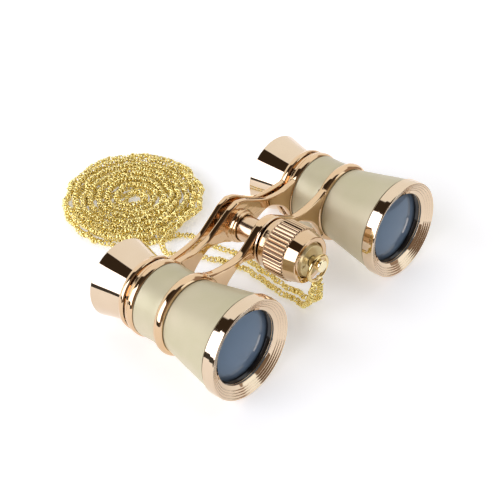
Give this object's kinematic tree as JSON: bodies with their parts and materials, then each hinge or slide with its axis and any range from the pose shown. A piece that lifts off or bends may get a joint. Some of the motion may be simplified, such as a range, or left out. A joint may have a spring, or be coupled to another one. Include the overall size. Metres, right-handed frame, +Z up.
{
  "type": "pocket binoculars",
  "caption": "Small Galilean opera glasses with flared barrels, arched bridges, a centre focus knob in front and a rope chain coiled behind.",
  "frame": {"origin": "on the floor, under the middle of the glasses without their chain", "axes": "+X across the barrels to the glasses' right barrel (left means -X), -Y the way the objectives look, +Z up"},
  "size_m": [0.1092, 0.1203, 0.0341],
  "materials": {
    "rose_gold": "polished rose-gold plating",
    "pearl_lacquer": "champagne pearl lacquer, satin",
    "black_anodised": "glossy black",
    "coated_glass": "polished glass with a blue coating",
    "gold_chain": "polished yellow gold plating",
    "plate_brass": "turned brass",
    "turned_steel": "turned steel"
  },
  "bodies": {
    "frame": {"objective_bezel_left": "rose_gold", "lens_retainer_left": "black_anodised", "objective_lens_left": "coated_glass", "front_barrel_left": "pearl_lacquer", "rear_sleeve_left": "pearl_lacquer", "objective_bezel_right": "rose_gold", "lens_retainer_right": "black_anodised", "objective_lens_right": "coated_glass", "front_barrel_right": "pearl_lacquer", "rear_sleeve_right": "pearl_lacquer", "front_bridge": "rose_gold", "rear_bridge": "rose_gold", "centre_tube": "rose_gold", "thrust_washer": "rose_gold", "chain_lead_a": "gold_chain", "chain_coil": "gold_chain", "chain_lead_b": "gold_chain"},
    "focus": {"focus_knob": "rose_gold", "knob_end_plate": "plate_brass", "focus_spindle": "turned_steel"},
    "eyepieces": {"eyepiece_bridge": "rose_gold", "draw_tube_left": "rose_gold", "eyecup_left": "rose_gold", "eye_lens_left": "coated_glass", "eye_lens_retainer_left": "black_anodised", "draw_tube_right": "rose_gold", "eyecup_right": "rose_gold", "eye_lens_right": "coated_glass", "eye_lens_retainer_right": "black_anodised", "focus_post": "turned_steel", "post_cap_screw": "rose_gold"},
    "stud": {"chain_stud": "plate_brass"},
    "ring": {"chain_ring": "gold_chain"}
  },
  "joints": [
    {"name": "focus_turn", "type": "hinge", "parent": "frame", "child": "focus", "pos_m": [0, -0.01955, 0.02368], "axis": [0, 0.9979, -0.0646], "range_deg": [-361, 43]},
    {"name": "focus_slide", "type": "slide", "parent": "frame", "child": "eyepieces", "axis": [0, 0.9979, -0.0646], "range_m": [-0.0007, 0.006]},
    {"name": "stud_swivel", "type": "hinge", "parent": "frame", "child": "stud", "pos_m": [0, -0.02279, 0.02388], "axis": [0, 0.9979, -0.0646], "range_deg": [-90, 90]},
    {"name": "ring_swing", "type": "hinge", "parent": "stud", "child": "ring", "pos_m": [0, -0.02262, 0.02648], "axis": [1, 0, 0], "range_deg": [-45, 7]}
  ],
  "couplings": [
    {"joint": "focus_turn", "follows": "focus_slide", "rad_per_m": -1047.2}
  ]
}
